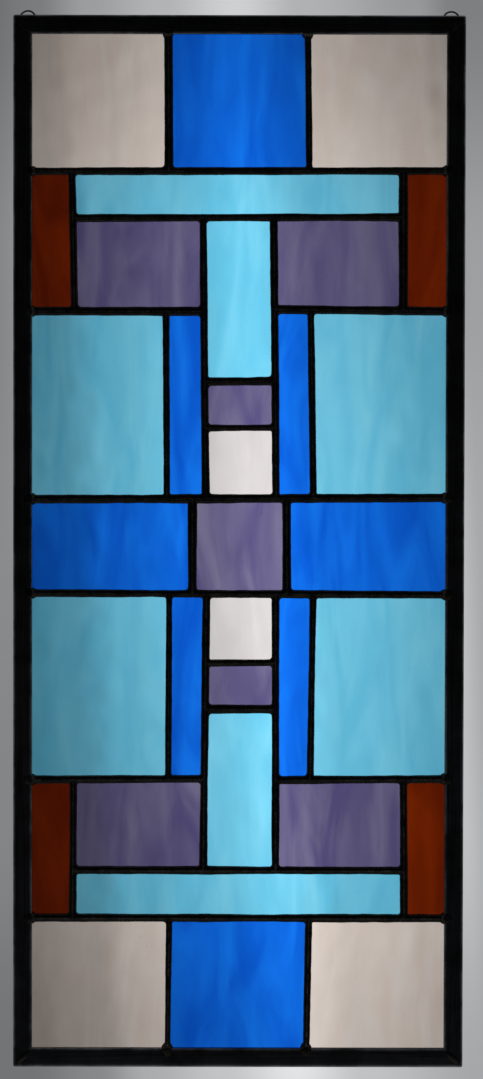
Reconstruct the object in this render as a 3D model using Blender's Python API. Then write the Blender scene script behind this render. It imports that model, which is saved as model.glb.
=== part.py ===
"""A stained glass window panel in a zinc frame, hung by two wire loops. Metres, +Z up, seen from -Y.

Every pane lies between four seams. A seam is the middle line of a run of solder, and it is given by where that
line is at its two ends, so that a pane's glass, the hole left for it in the solder and the frame around them all
follow the same few sizes. The world origin is where the two loops bear on their hooks, midway between them.
"""

import math

import bmesh
import bpy
from mathutils import Matrix, Vector

MM = 0.001

# The frame of zinc U-section bars
PANEL_WIDTH = 228.6 * MM
PANEL_HEIGHT = 533.4 * MM
CAME_FACE = 9.5 * MM
CAME_WALL = 0.8 * MM
CAME_EDGE_CHAMFER = 0.5 * MM

# The glass and the solder over its edges
GLASS_THICKNESS = 3.0 * MM
FOIL_LAP = 1.05 * MM
OPENING_CORNER_RADIUS = 1.3 * MM
SOLDER_SKIN = 0.27 * MM
BEAD_RISE = 0.62 * MM
FINE_WEB = 0.4 * MM
COMMON_WEB = 0.9 * MM
HEAVY_WEB = 1.5 * MM
RIM_WEB = 0.7 * MM

# Widths of the columns, from one seam's middle line to the next
TOP_PANE_WIDTH = 70.8 * MM
RUST_WIDTH = 20.9 * MM
COLUMN_WIDTH = 35.4 * MM
STRIP_WIDTH = 18.9 * MM
HUB_WIDTH = 47.8 * MM

# Heights of the rows, likewise
CAP_HEIGHT = 67.8 * MM
BAR_HEIGHT = 23.8 * MM
SHOULDER_HEIGHT = 46.8 * MM
SMALL_PURPLE_HEIGHT = 23.6 * MM
SMALL_CLEAR_HEIGHT = 35.5 * MM
HUB_HEIGHT = 48.3 * MM
PATTERN_DROP = 1.2 * MM

# The wire loops on the back of the upper corners, and the solder that holds them
LOOP_OUTER_DIAMETER = 9.3 * MM
LOOP_WIRE = 0.9 * MM
LOOP_ABOVE_FRAME = 2.8 * MM
LOOP_FROM_SIDE = 7.2 * MM
SOLDER_UNDER_WIRE = 0.1 * MM
SOLDER_DAB_WIDTH = 8.8 * MM
SOLDER_DAB_BELOW_TOP = 1.2 * MM
SOLDER_DAB_RISE = 0.9 * MM

# The gap left between pieces that touch
FIT = 0.3 * MM

# How finely round shapes are cut
SOLDER_CORNER_STEPS = 2
GLASS_CORNER_STEPS = 1
LOOP_STEPS = 24
WIRE_SIDES = 8
DAB_STEPS = 16
DAB_RINGS = 3

# What follows from the sizes above
CHANNEL_WIDTH = GLASS_THICKNESS + 2 * (FIT + SOLDER_SKIN + FIT)
CAME_THICKNESS = CHANNEL_WIDTH + 2 * CAME_WALL
SIGHT_X = PANEL_WIDTH / 2 - CAME_FACE
SIGHT_Z = PANEL_HEIGHT / 2 - CAME_FACE
RIM_X = PANEL_WIDTH / 2 - CAME_WALL - FIT
RIM_Z = PANEL_HEIGHT / 2 - CAME_WALL - FIT
GLASS_EDGE_X = RIM_X - RIM_WEB - FIT
GLASS_EDGE_Z = RIM_Z - RIM_WEB - FIT
POCKET_HALF = GLASS_THICKNESS / 2 + FIT
SKIN_HALF = POCKET_HALF + SOLDER_SKIN
CROWN_HALF = SKIN_HALF + BEAD_RISE
LOOP_RADIUS = (LOOP_OUTER_DIAMETER - LOOP_WIRE) / 2
LOOP_X = PANEL_WIDTH / 2 - LOOP_FROM_SIDE
LOOP_Y = CAME_THICKNESS / 2 + FIT + SOLDER_UNDER_WIRE + LOOP_WIRE / 2
LOOP_Z = PANEL_HEIGHT / 2 + LOOP_ABOVE_FRAME - LOOP_OUTER_DIAMETER / 2
BEARING_Z = LOOP_Z + LOOP_RADIUS - LOOP_WIRE / 2


class Seam:
    """A run of solder, straight from end to end: where its middle line is at its low and its high end."""

    def __init__(self, level, web=COMMON_WEB, drift=(0.0, 0.0), span=(-1.0, 1.0)):
        """level is its design place, drift how far each end wanders from it in mm, and span where its ends are."""
        self.low = level + drift[0] * MM
        self.high = level + drift[1] * MM
        self.span = span
        self.to_glass = web / 2 + FIT

    def at(self, along):
        """The place of the middle line at a point along the seam."""
        start, end = self.span
        share = (along - start) / (end - start)
        return self.low + (self.high - self.low) * share


def frame_seam(level):
    """The edge of the glass inside the frame's channel, as a seam with no web of its own."""
    seam = Seam(level)
    seam.to_glass = 0.0
    return seam


def make_seams():
    """Every seam of the panel by name. Drift is what makes the hand-cut panes a little out of true."""
    cap = SIGHT_Z - CAP_HEIGHT
    bar = cap - BAR_HEIGHT
    shoulder = bar - SHOULDER_HEIGHT
    hub = HUB_HEIGHT / 2
    small = hub + SMALL_CLEAR_HEIGHT
    foot = small + SMALL_PURPLE_HEIGHT
    crown_x = TOP_PANE_WIDTH / 2
    rust_x = SIGHT_X - RUST_WIDTH
    column_x = COLUMN_WIDTH / 2
    strip_x = column_x + STRIP_WIDTH
    hub_x = HUB_WIDTH / 2
    drop = PATTERN_DROP
    wide = (-SIGHT_X, SIGHT_X)
    inner = (-rust_x, rust_x)
    left_half = (-SIGHT_X, -column_x)
    right_half = (column_x, SIGHT_X)
    middle = (-column_x, column_x)

    seams = {
        "frame_left": frame_seam(-GLASS_EDGE_X),
        "frame_right": frame_seam(GLASS_EDGE_X),
        "frame_top": frame_seam(GLASS_EDGE_Z),
        "frame_bottom": frame_seam(-GLASS_EDGE_Z),
    }
    # Level seams of the upper half, at these heights over the pattern's middle, then those of the lower half
    seams["cap_top"] = Seam(cap - drop, COMMON_WEB, (-0.3, 0.3), wide)
    seams["bar_top"] = Seam(bar - drop, COMMON_WEB, (-0.1, 0.7), inner)
    seams["shoulder_top_left"] = Seam(shoulder - drop, HEAVY_WEB, (-0.3, -0.3), left_half)
    seams["shoulder_top_right"] = Seam(shoulder - drop, HEAVY_WEB, (0.8, 0.0), right_half)
    seams["foot_top"] = Seam(foot - drop, HEAVY_WEB, (-0.3, 0.1), middle)
    seams["small_top"] = Seam(small - drop, FINE_WEB, (-0.2, 0.1), middle)
    seams["hub_top"] = Seam(hub - drop, HEAVY_WEB, (-0.9, 0.1), wide)
    seams["hub_bottom"] = Seam(-hub - drop, COMMON_WEB, (-0.2, -0.8), wide)
    seams["small_bottom"] = Seam(-small - drop, FINE_WEB, (-0.2, 0.1), middle)
    seams["foot_bottom"] = Seam(-foot - drop, HEAVY_WEB, (0.0, 0.1), middle)
    seams["shoulder_bottom_left"] = Seam(-shoulder - drop, COMMON_WEB, (-0.4, 0.1), left_half)
    seams["shoulder_bottom_right"] = Seam(-shoulder - drop, COMMON_WEB, (-0.5, 0.2), right_half)
    seams["bar_bottom"] = Seam(-bar - drop, COMMON_WEB, (0.4, 0.3), inner)
    seams["cap_bottom"] = Seam(-cap - drop, COMMON_WEB, (-0.2, -0.2), wide)

    # Upright seams, from their lower end to their upper one
    top_row = (cap - drop, SIGHT_Z)
    bottom_row = (-SIGHT_Z, -cap - drop)
    upper_side = (shoulder - drop, cap - drop)
    lower_side = (-cap - drop, -shoulder - drop)
    upper_field = (hub - drop, shoulder - drop)
    lower_field = (-shoulder - drop, -hub - drop)
    upper_column = (hub - drop, bar - drop)
    lower_column = (-bar - drop, -hub - drop)
    hub_row = (-hub - drop, hub - drop)
    seams["crown_top_left"] = Seam(-crown_x, HEAVY_WEB, (-0.2, -0.6), top_row)
    seams["crown_top_right"] = Seam(crown_x, FINE_WEB, (0.0, -0.9), top_row)
    seams["crown_bottom_left"] = Seam(-crown_x, FINE_WEB, (-0.4, 0.4), bottom_row)
    seams["crown_bottom_right"] = Seam(crown_x, FINE_WEB, (-0.6, 0.6), bottom_row)
    seams["rust_top_left"] = Seam(-rust_x, COMMON_WEB, (0.6, -0.8), upper_side)
    seams["rust_top_right"] = Seam(rust_x, HEAVY_WEB, (-0.8, -1.0), upper_side)
    seams["rust_bottom_left"] = Seam(-rust_x, COMMON_WEB, (-0.2, 0.2), lower_side)
    seams["rust_bottom_right"] = Seam(rust_x, COMMON_WEB, (0.5, 0.0), lower_side)
    seams["column_top_left"] = Seam(-column_x, COMMON_WEB, (0.9, -0.6), upper_column)
    seams["column_top_right"] = Seam(column_x, COMMON_WEB, (1.2, -0.3), upper_column)
    seams["column_bottom_left"] = Seam(-column_x, COMMON_WEB, (-0.1, 1.4), lower_column)
    seams["column_bottom_right"] = Seam(column_x, COMMON_WEB, (1.3, 1.0), lower_column)
    seams["strip_top_left"] = Seam(-strip_x, FINE_WEB, (0.1, -0.4), upper_field)
    seams["strip_top_right"] = Seam(strip_x, FINE_WEB, (1.2, -0.3), upper_field)
    seams["strip_bottom_left"] = Seam(-strip_x, FINE_WEB, (1.0, 1.4), lower_field)
    seams["strip_bottom_right"] = Seam(strip_x, FINE_WEB, (-0.1, 1.2), lower_field)
    seams["hub_left"] = Seam(-hub_x, HEAVY_WEB, (0.4, 0.4), hub_row)
    seams["hub_right"] = Seam(hub_x, HEAVY_WEB, (0.6, 0.3), hub_row)
    return seams


def corner(upright, level):
    """Where an upright seam's line, shifted by upright[1], meets a level one's, shifted by level[1]."""
    (side, side_shift), (end, end_shift) = upright, level
    x = side.low + side_shift
    for _ in range(4):
        z = end.at(x) + end_shift
        x = side.at(z) + side_shift
    return x, z


def pane_layout():
    """Every pane: its name, its colour, and its left, right, lower and upper seams."""
    panes = []

    def pane(name, colour, left, right, lower, upper):
        panes.append((f"glass_{name}", colour, (left, right, lower, upper)))

    for end, inner_row in (("top", "upper"), ("bottom", "lower")):
        def between(outer, inner, end=end):
            """The two level seams in the order lower, upper: outer is the one nearer the panel's end."""
            pair = (f"frame_{end}" if outer == "frame" else f"{outer}_{end}", f"{inner}_{end}")
            return pair[::-1] if end == "top" else pair

        crown = (f"crown_{end}_left", f"crown_{end}_right")
        rust = (f"rust_{end}_left", f"rust_{end}_right")
        column = (f"column_{end}_left", f"column_{end}_right")
        pane(f"blue_{end}", "blue", *crown, *between("frame", "cap"))
        pane(f"turquoise_bar_{end}", "turquoise", *rust, *between("cap", "bar"))
        pane(f"turquoise_column_{end}", "turquoise", *column, *between("bar", "foot"))
        pane(f"purple_small_{inner_row}", "purple", *column, *between("foot", "small"))
        pane(f"clear_small_{inner_row}", "clear", *column, *between("small", "hub"))
        for side in ("left", "right"):
            def across(outer, inner, side=side, end=end):
                """The two upright seams in the order left, right: outer is the one nearer the frame."""
                names = [f"frame_{side}" if n == "frame" else f"{n}_{end}_{side}" for n in (outer, inner)]
                return names if side == "left" else names[::-1]

            shoulder = f"shoulder_{end}_{side}"
            to_bar = (shoulder, f"bar_{end}") if end == "top" else (f"bar_{end}", shoulder)
            to_cap = (shoulder, f"cap_{end}") if end == "top" else (f"cap_{end}", shoulder)
            to_hub = (f"hub_{end}", shoulder) if end == "top" else (shoulder, f"hub_{end}")
            pane(f"clear_{end}_{side}", "clear", *across("frame", "crown"), *between("frame", "cap"))
            pane(f"rust_{end}_{side}", "rust", *across("frame", "rust"), *to_cap)
            pane(f"purple_{end}_{side}", "purple", *across("rust", "column"), *to_bar)
            pane(f"blue_strip_{inner_row}_{side}", "blue", *across("strip", "column"), *to_hub)
            pane(f"turquoise_{inner_row}_{side}", "turquoise", *across("frame", "strip"), *to_hub)

    pane("blue_middle_left", "blue", "frame_left", "hub_left", "hub_bottom", "hub_top")
    pane("purple_middle", "purple", "hub_left", "hub_right", "hub_bottom", "hub_top")
    pane("blue_middle_right", "blue", "hub_right", "frame_right", "hub_bottom", "hub_top")
    return panes


def pane_outline(sides, grow, steps):
    """The outline of a pane's glass, its edges moved out by grow, with round corners that keep their centres.

    Whatever grow is, a corner turns round the same centre, so all outlines of one pane are evenly spaced.
    """
    left, right, lower, upper = sides
    inset = OPENING_CORNER_RADIUS + FOIL_LAP
    radius = inset + grow
    places = (
        ((left, 1), (lower, 1), math.pi),
        ((right, -1), (lower, 1), 1.5 * math.pi),
        ((right, -1), (upper, -1), 0.0),
        ((left, 1), (upper, -1), 0.5 * math.pi),
    )
    points = []
    for (upright, inward_x), (level, inward_z), start in places:
        shift_x = inward_x * (upright.to_glass + inset)
        shift_z = inward_z * (level.to_glass + inset)
        x, z = corner((upright, shift_x), (level, shift_z))
        for step in range(steps + 1):
            angle = start + 0.5 * math.pi * step / steps
            points.append((x + radius * math.cos(angle), z + radius * math.sin(angle)))
    return points


def loft(mesh, rings, closed=False):
    """Joins outlines of equal length into one skin: capped at both ends, or closed into a ring."""
    rows = [[mesh.verts.new(point) for point in ring] for ring in rings]
    pairs = list(zip(rows, rows[1:]))
    if closed:
        pairs.append((rows[-1], rows[0]))
    else:
        mesh.faces.new(rows[0])
        mesh.faces.new(rows[-1][::-1])
    for first, second in pairs:
        for k in range(len(first)):
            after = (k + 1) % len(first)
            mesh.faces.new((first[k], second[k], second[after], first[after]))


def new_object(name, mesh, parent, smooth=False):
    """Turns a bmesh into a scene object with its faces pointing out, placed under its parent."""
    bmesh.ops.recalc_face_normals(mesh, faces=mesh.faces)
    data = bpy.data.meshes.new(name)
    mesh.to_mesh(data)
    mesh.free()
    if smooth:
        data.shade_smooth()
        data.set_sharp_from_angle(angle=math.radians(40))
    piece = bpy.data.objects.new(name, data)
    piece.parent = parent
    bpy.context.scene.collection.objects.link(piece)
    return piece


def paint(piece, colour, roughness, metallic=0.0, transmission=0.0):
    """Gives a piece a material of its own."""
    material = bpy.data.materials.new(f"{piece.name}_finish")
    material.use_nodes = True
    shader = material.node_tree.nodes["Principled BSDF"]
    shader.inputs["Base Color"].default_value = (*colour, 1.0)
    shader.inputs["Roughness"].default_value = roughness
    shader.inputs["Metallic"].default_value = metallic
    shader.inputs["Transmission Weight"].default_value = transmission
    piece.data.materials.append(material)


GLASS_COLOURS = {
    "clear": (0.72, 0.68, 0.63),
    "blue": (0.01, 0.13, 0.62),
    "turquoise": (0.13, 0.47, 0.60),
    "purple": (0.14, 0.10, 0.24),
    "rust": (0.22, 0.03, 0.003),
}


def make_glass(name, colour, sides, parent):
    """One pane of sheet glass, its corners nipped."""
    mesh = bmesh.new()
    half = GLASS_THICKNESS / 2
    outline = pane_outline(sides, 0.0, GLASS_CORNER_STEPS)
    loft(mesh, [[(x, y, z) for x, z in outline] for y in (-half, half)])
    pane = new_object(name, mesh, parent)
    paint(pane, GLASS_COLOURS[colour], roughness=0.08, transmission=1.0)


def rectangle(half_x, half_z, y):
    """The corners of an upright rectangle at a depth."""
    return [(-half_x, y, -half_z), (half_x, y, -half_z), (half_x, y, half_z), (-half_x, y, half_z)]


def make_solder_plate(parent):
    """The lattice before its panes are cut: thick as the beads, and thinner where it goes into the channel."""
    outer = (RIM_X, RIM_Z)
    inner = (SIGHT_X - FIT, SIGHT_Z - FIT)
    steps = (
        (inner, -CROWN_HALF),
        (inner, -SKIN_HALF),
        (outer, -SKIN_HALF),
        (outer, SKIN_HALF),
        (inner, SKIN_HALF),
        (inner, CROWN_HALF),
    )
    mesh = bmesh.new()
    loft(mesh, [rectangle(*size, y) for size, y in steps])
    return new_object("solder_seams", mesh, parent)


def make_pane_cutter(all_sides, parent):
    """What the panes take out of the lattice: a pocket for each piece of glass and a flared hole on each face.

    Going out from the middle: the pocket, in over the foil's lap, up the edge of the solder, then away over
    the rounded bead, whose crown begins above the edge of the glass.
    """
    half_way = 0.5
    rise_half_way = 0.7
    past = 1.15
    profile = (
        (FIT, POCKET_HALF),
        (-FOIL_LAP, POCKET_HALF),
        (-FOIL_LAP, SKIN_HALF),
        (-FOIL_LAP * (1 - half_way), SKIN_HALF + BEAD_RISE * rise_half_way),
        (FOIL_LAP * (past - 1), SKIN_HALF + BEAD_RISE * past),
    )
    levels = [(grow, -y) for grow, y in reversed(profile)] + list(profile)
    mesh = bmesh.new()
    for sides in all_sides:
        rings = []
        for grow, y in levels:
            outline = pane_outline(sides, grow, SOLDER_CORNER_STEPS)
            rings.append([(x, y, z) for x, z in outline])
        loft(mesh, rings)
    cutter = new_object("pane_cutter", mesh, parent)
    cutter.hide_render = True
    cutter.display_type = "WIRE"
    return cutter


def make_solder(all_sides, parent):
    """The lattice of foil and solder that holds the panes together."""
    lattice = make_solder_plate(parent)
    cut = lattice.modifiers.new("panes", "BOOLEAN")
    cut.operation = "DIFFERENCE"
    cut.solver = "EXACT"
    cut.object = make_pane_cutter(all_sides, parent)
    paint(lattice, (0.008, 0.008, 0.009), roughness=0.45, metallic=0.7)


def came_profile():
    """The U section: how far each point is from the bar's outer edge, and its depth."""
    half = CAME_THICKNESS / 2
    chamfer = CAME_EDGE_CHAMFER
    front = [
        (0.0, -half + chamfer),
        (chamfer, -half),
        (CAME_FACE - chamfer / 2, -half),
        (CAME_FACE, -half + chamfer / 2),
        (CAME_FACE, -half + CAME_WALL),
        (CAME_WALL, -half + CAME_WALL),
    ]
    return front + [(inward, -y) for inward, y in reversed(front)]


def make_bar(name, length, other_way, turn, parent):
    """One bar of the frame along X, mitred at both ends, with the panel's other dimension placing it."""
    shorter = FIT / 2 * math.sqrt(2)
    mesh = bmesh.new()
    ends = []
    for sign in (-1, 1):
        ends.append([(sign * (length / 2 - inward - shorter), y, -inward) for inward, y in came_profile()])
    loft(mesh, ends)
    bar = new_object(name, mesh, parent)
    bar.data.transform(Matrix.Rotation(turn, 4, "Y") @ Matrix.Translation((0, 0, other_way / 2)))
    paint(bar, (0.009, 0.009, 0.010), roughness=0.5, metallic=0.8)


def make_frame(parent):
    """The four mitred bars. Each is made as the top one and turned to its side."""
    right_angle = math.pi / 2
    make_bar("frame_top", PANEL_WIDTH, PANEL_HEIGHT, 0.0, parent)
    make_bar("frame_right", PANEL_HEIGHT, PANEL_WIDTH, right_angle, parent)
    make_bar("frame_bottom", PANEL_WIDTH, PANEL_HEIGHT, 2 * right_angle, parent)
    make_bar("frame_left", PANEL_HEIGHT, PANEL_WIDTH, -right_angle, parent)


def make_loop_ring(mesh):
    """The ring of wire, standing in the plane of the panel."""
    rings = []
    for step in range(LOOP_STEPS):
        turn = 2 * math.pi * step / LOOP_STEPS
        ring = []
        for side in range(WIRE_SIDES):
            angle = 2 * math.pi * side / WIRE_SIDES
            reach = LOOP_RADIUS + LOOP_WIRE / 2 * math.cos(angle)
            depth = LOOP_WIRE / 2 * math.sin(angle)
            ring.append((reach * math.sin(turn), depth, reach * math.cos(turn)))
        rings.append(ring)
    loft(mesh, rings, closed=True)


def make_dab(parent, x):
    """The dab of solder over the lower part of a ring: a low round-topped mound, flat towards the frame."""
    mesh = bmesh.new()
    base = -LOOP_WIRE / 2 - SOLDER_UNDER_WIRE
    low_z = -LOOP_OUTER_DIAMETER / 2
    high_z = PANEL_HEIGHT / 2 - SOLDER_DAB_BELOW_TOP - LOOP_Z
    rise = SOLDER_UNDER_WIRE + SOLDER_DAB_RISE
    rings = []
    for level in range(DAB_RINGS):
        lift = 0.5 * math.pi * level / DAB_RINGS
        ring = []
        for step in range(DAB_STEPS):
            angle = 2 * math.pi * step / DAB_STEPS
            reach_x = SOLDER_DAB_WIDTH / 2 * math.cos(lift) * math.cos(angle)
            reach_z = (high_z - low_z) / 2 * math.cos(lift) * math.sin(angle)
            ring.append((reach_x, base + rise * math.sin(lift), (high_z + low_z) / 2 + reach_z))
        rings.append(ring)
    loft(mesh, rings)
    dab = new_object("solder_dab", mesh, parent)
    dab.location = (x, LOOP_Y, LOOP_Z)
    dab.hide_render = True
    dab.display_type = "WIRE"
    return dab


def make_loop(side, sign, parent):
    """One hanging loop with its dab of solder."""
    mesh = bmesh.new()
    make_loop_ring(mesh)
    loop = new_object(f"hanging_loop_{side}", mesh, parent, smooth=True)
    loop.location = (sign * LOOP_X, LOOP_Y, LOOP_Z)
    join = loop.modifiers.new("dab", "BOOLEAN")
    join.operation = "UNION"
    join.solver = "EXACT"
    join.object = make_dab(parent, sign * LOOP_X)
    paint(loop, (0.012, 0.012, 0.013), roughness=0.4, metallic=0.8)


def main():
    for thing in list(bpy.data.objects):
        bpy.data.objects.remove(thing)
    centre = bpy.data.objects.new("panel_centre", None)
    centre.location = Vector((0.0, -LOOP_Y, -BEARING_Z))
    bpy.context.scene.collection.objects.link(centre)

    seams = make_seams()
    panes = [(name, colour, [seams[s] for s in sides]) for name, colour, sides in pane_layout()]
    for name, colour, sides in panes:
        make_glass(name, colour, sides, centre)
    make_solder([sides for _, _, sides in panes], centre)
    make_frame(centre)
    make_loop("left", -1, centre)
    make_loop("right", 1, centre)


main()
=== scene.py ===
# %% [markdown]
# # A stained glass window panel
# This file dresses a measured model of a hanging stained glass panel: 33 pieces of coloured glass, wrapped
# in copper foil, soldered together, and framed in zinc bars. The model gives every place and size. What is
# added is what the hand and the furnace leave behind: glass that isn't quite flat, solder that swells and
# narrows, metal gone black in its patina.

# %% Load the measured model
import math

import bpy
import numpy as np
from mathutils import Matrix, Vector


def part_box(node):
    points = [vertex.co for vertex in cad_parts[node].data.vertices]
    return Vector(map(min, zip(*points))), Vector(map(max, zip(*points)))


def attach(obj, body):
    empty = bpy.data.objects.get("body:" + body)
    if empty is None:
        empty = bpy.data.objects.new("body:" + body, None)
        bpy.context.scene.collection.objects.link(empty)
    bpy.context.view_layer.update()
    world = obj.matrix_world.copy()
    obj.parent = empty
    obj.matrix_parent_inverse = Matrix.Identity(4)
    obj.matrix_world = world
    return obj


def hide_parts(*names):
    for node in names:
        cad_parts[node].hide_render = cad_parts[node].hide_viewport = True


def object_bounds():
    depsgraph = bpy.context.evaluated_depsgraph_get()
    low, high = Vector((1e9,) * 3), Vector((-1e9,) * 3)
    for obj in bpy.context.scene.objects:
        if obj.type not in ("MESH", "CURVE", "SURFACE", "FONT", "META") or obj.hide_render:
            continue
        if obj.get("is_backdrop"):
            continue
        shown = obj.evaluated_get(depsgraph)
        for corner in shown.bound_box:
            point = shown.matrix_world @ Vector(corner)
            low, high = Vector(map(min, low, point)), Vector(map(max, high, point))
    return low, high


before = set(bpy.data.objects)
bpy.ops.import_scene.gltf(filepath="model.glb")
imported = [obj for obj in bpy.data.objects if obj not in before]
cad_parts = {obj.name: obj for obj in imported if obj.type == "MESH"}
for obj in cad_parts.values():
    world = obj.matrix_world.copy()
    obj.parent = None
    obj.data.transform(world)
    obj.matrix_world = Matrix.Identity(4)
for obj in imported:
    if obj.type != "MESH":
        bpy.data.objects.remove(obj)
measured_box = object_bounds()
MM = 0.001
print("the measured panel is", [round(v / MM, 1) for v in measured_box[1] - measured_box[0]], "mm")

# %% [markdown]
# ## Where the pieces lie
# Every pane of the model is a flat slab with four long sides and nipped corners. The long sides are enough
# to rebuild it, because two of them cross at each corner of the uncut pane. The panel stands upright, so
# places on it are given in x and z.


# %% Read points and cross lines
def points_of(node):
    """All the points of a CAD node, one row each."""
    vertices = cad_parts[node].data.vertices
    flat = np.empty(3 * len(vertices))
    vertices.foreach_get("co", flat)
    return flat.reshape(-1, 3)


def cross(a, b, c, d):
    """Where the line through a and b meets the line through c and d, all as (x, z)."""
    run, other = b - a, d - c
    share = ((c - a)[0] * other[1] - (c - a)[1] * other[0]) / (run[0] * other[1] - run[1] * other[0])
    return a + run * share


def crossings(lines):
    """The four corners where each of four lines, given as pairs of points, meets the one before it."""
    return np.array([cross(*lines[k - 1], *lines[k]) for k in range(4)])


# %% [markdown]
# The points of an outline are put in order by their angle round its middle. The four longest steps between
# them are the pane's sides. Each pane is kept as its four corners, anticlockwise from the lower left one.


# %% Four corners for each pane
def corners_of(node):
    """A pane's corners: where the four longest edges of its outline cross, from the lower left one on."""
    outline = np.unique(np.round(points_of(node)[:, [0, 2]], 6), axis=0)
    spoke = outline - outline.mean(axis=0)
    outline = outline[np.argsort(np.arctan2(spoke[:, 1], spoke[:, 0]))]
    after = np.roll(outline, -1, axis=0)
    longest = np.sort(np.argsort(np.hypot(*(after - outline).T))[-4:])
    corners = crossings([(outline[k], after[k]) for k in longest])
    return np.roll(corners, -int(np.argmin(corners.sum(axis=1))), axis=0)


pane_names = sorted(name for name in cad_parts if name.startswith("glass_"))
panes = {name: corners_of(name) for name in pane_names}
print(len(panes), "panes, each kept as its four corners")

# %% [markdown]
# Glass and metal share some sizes: the glass's thickness, the solder's outer rim, and the frame's outer and
# inner edges. All are read from the model, so nothing can drift from it.

# %% Depths and widths that the pieces share
glass_y = points_of("glass_purple_middle")[:, 1]
MIDDLE_Y = (glass_y.min() + glass_y.max()) / 2
HALF_GLASS = (glass_y.max() - glass_y.min()) / 2
rim_low, rim_high = (np.array(corner)[[0, 2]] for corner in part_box("solder_seams"))
left_low, left_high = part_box("frame_left")
outer_low = np.array([left_low.x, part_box("frame_bottom")[0].z])
outer_high = np.array([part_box("frame_right")[1].x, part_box("frame_top")[1].z])
CAME_FACE = left_high.x - left_low.x
CAME_HALF = (left_high.y - left_low.y) / 2
sight_low, sight_high = outer_low + CAME_FACE, outer_high - CAME_FACE
print("glass", round(2 * HALF_GLASS / MM, 2), "mm thick, frame", round(CAME_FACE / MM, 2), "mm wide")

# %% [markdown]
# Solder is thickest half way between two panes that face each other. So each side of a pane looks for what
# it faces: of all panes a small gap away, the one that it runs beside the longest.

# %% How two sides face each other
FACING_GAP = (0.2 * MM, 4 * MM)
SHORTEST_FACING = 2 * MM


def overlap(side, other):
    """How far two facing sides run beside each other, and the mean gap between them, across the first."""
    start, end = side
    along = (end - start) / np.hypot(*(end - start))
    outward = np.array([along[1], -along[0]])
    shares = np.sort((np.array(other) - start) @ along)
    shared = min(shares[1], (end - start) @ along) - max(shares[0], 0.0)
    middle = start + along * (max(shares[0], 0.0) + shared / 2)
    run = other[1] - other[0]
    on_other = other[0] + run * ((middle - other[0]) @ along) / (run @ along)
    return shared, (on_other - middle) @ outward


# %% [markdown]
# A side that faces no pane faces the frame, and its seam ends at the solder's outer rim. The four middle
# lines round a pane meet in four points. They bound the pane's cell, its share of the net of solder.


# %% The middle lines round each pane
def middle_line(name, k):
    """Two points on the middle line of the seam beyond side k of a pane, or on the rim if it faces none."""
    side = panes[name][k], panes[name][(k + 1) % 4]
    best, facing = SHORTEST_FACING, None
    for other in pane_names:
        back = panes[other][(k + 3) % 4], panes[other][(k + 2) % 4]
        shared, gap = overlap(side, back)
        if other != name and FACING_GAP[0] < gap < FACING_GAP[1] and shared > best:
            best, facing = shared, back
    if facing is None:
        rim = [rim_low[1], rim_high[0], rim_high[1], rim_low[0]][k]
        return [np.array([p[0], rim] if k in (0, 2) else [rim, p[1]]) for p in side]
    across = np.array([0.0, 1.0] if k in (0, 2) else [1.0, 0.0])
    return [(p + cross(p, p + across, *facing)) / 2 for p in side]


cells = {name: crossings([middle_line(name, k) for k in range(4)]) for name in pane_names}
print("the middle pane's cell is", np.round(np.ptp(cells["glass_purple_middle"], axis=0) / MM, 2), "mm")

# %% [markdown]
# ## Small tools
# Hand work wanders smoothly. A sum of slow waves in all directions gives such a wobble, the same on each
# run. A soft step serves wherever one level passes into another.


# %% A wobble and a soft step
def wobble(seed, wavelength, *coordinates, waves=7):
    """A smooth value of about -1 to 1: a mean of sine waves of nearly one wavelength, in all directions."""
    dice = np.random.default_rng(seed)
    where = np.stack(np.broadcast_arrays(*coordinates), axis=-1)
    ways = dice.normal(size=(waves, where.shape[-1]))
    ways /= np.linalg.norm(ways, axis=1, keepdims=True)
    lengths = wavelength * dice.uniform(0.7, 1.5, waves)
    phases = dice.uniform(0, 2 * np.pi, waves)
    return np.sin(2 * np.pi * where @ (ways / lengths[:, None]).T + phases).sum(axis=-1) * 1.6 / waves


def ease(value, start, end):
    """0 before start, 1 after end, and a soft S between them."""
    share = np.clip((value - start) / (end - start), 0, 1)
    return share * share * (3 - 2 * share)


# %% [markdown]
# Every piece is worked out as rows of points. One tool joins rows into faces, and one makes an object that
# rides on the panel's body, with its place in its points. A crown value on each point tells a finish how
# exposed it is, because patina rubs off where metal stands proud.


# %% Rows of points made into pieces
def grid_faces(rows, columns, start=0, around=False, turned=False):
    """The quads of a grid of points stored row by row; around joins each row's end to its start."""
    r, c = np.meshgrid(np.arange(rows - 1), np.arange(columns if around else columns - 1), indexing="ij")
    here, after = r * columns + c, r * columns + (c + 1) % columns
    quads = np.stack([here, after, after + columns, here + columns], axis=-1).reshape(-1, 4) + start
    return quads[:, ::-1] if turned else quads


def fan(tip, ring):
    """The triangles between a tip and each step round a ring of points."""
    return np.stack([np.full(len(ring), tip), ring, np.roll(ring, -1)], axis=-1)


def new_piece(name, vertices, faces, replaces=()):
    """Makes an object from arrays of points and faces, with its place in its mesh, riding on the panel."""
    mesh = bpy.data.meshes.new(name)
    mesh.from_pydata(np.asarray(vertices, float).tolist(), [], [list(map(int, f)) for f in faces])
    mesh.validate()
    mesh.polygons.foreach_set("use_smooth", [True] * len(mesh.polygons))
    piece = bpy.data.objects.new(name, mesh)
    bpy.context.scene.collection.objects.link(piece)
    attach(piece, "root")
    if replaces:
        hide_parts(*replaces)
    return piece


def mark_crowns(piece, values):
    """Stores how near each point is to a crown, 0 to 1, for the finish to read."""
    crown = piece.data.attributes.new("crown", "FLOAT", "POINT")
    crown.data.foreach_set("value", np.asarray(values, np.float32))


# %% [markdown]
# A finish is a net of nodes, so one tool adds a node with all that belongs to it. Colours are written as
# hex codes, as in a paint program, and turned into the linear values that light is reckoned in.


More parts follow.
